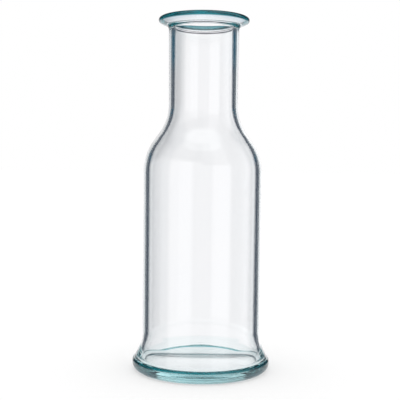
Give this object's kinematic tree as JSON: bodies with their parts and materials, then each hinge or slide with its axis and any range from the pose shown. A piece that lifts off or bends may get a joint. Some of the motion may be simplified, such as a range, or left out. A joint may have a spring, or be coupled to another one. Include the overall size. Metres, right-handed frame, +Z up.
{
  "type": "carafe",
  "caption": "Clear glass water carafe: straight body on a flared foot with a foot ring, S-shaped shoulder, straight neck and wide flared lip.",
  "frame": {"origin": "centre of the circle that the carafe stands on, at the foot's lowest level", "axes": "+Z up along the carafe's axis of revolution, out of the mouth; +X and +Y are any two horizontal directions"},
  "size_m": [0.1098, 0.1098, 0.28],
  "materials": {
    "clear_glass": "clear, fire-polished"
  },
  "bodies": {
    "root": {"glass_vessel": "clear_glass"}
  },
  "joints": []
}
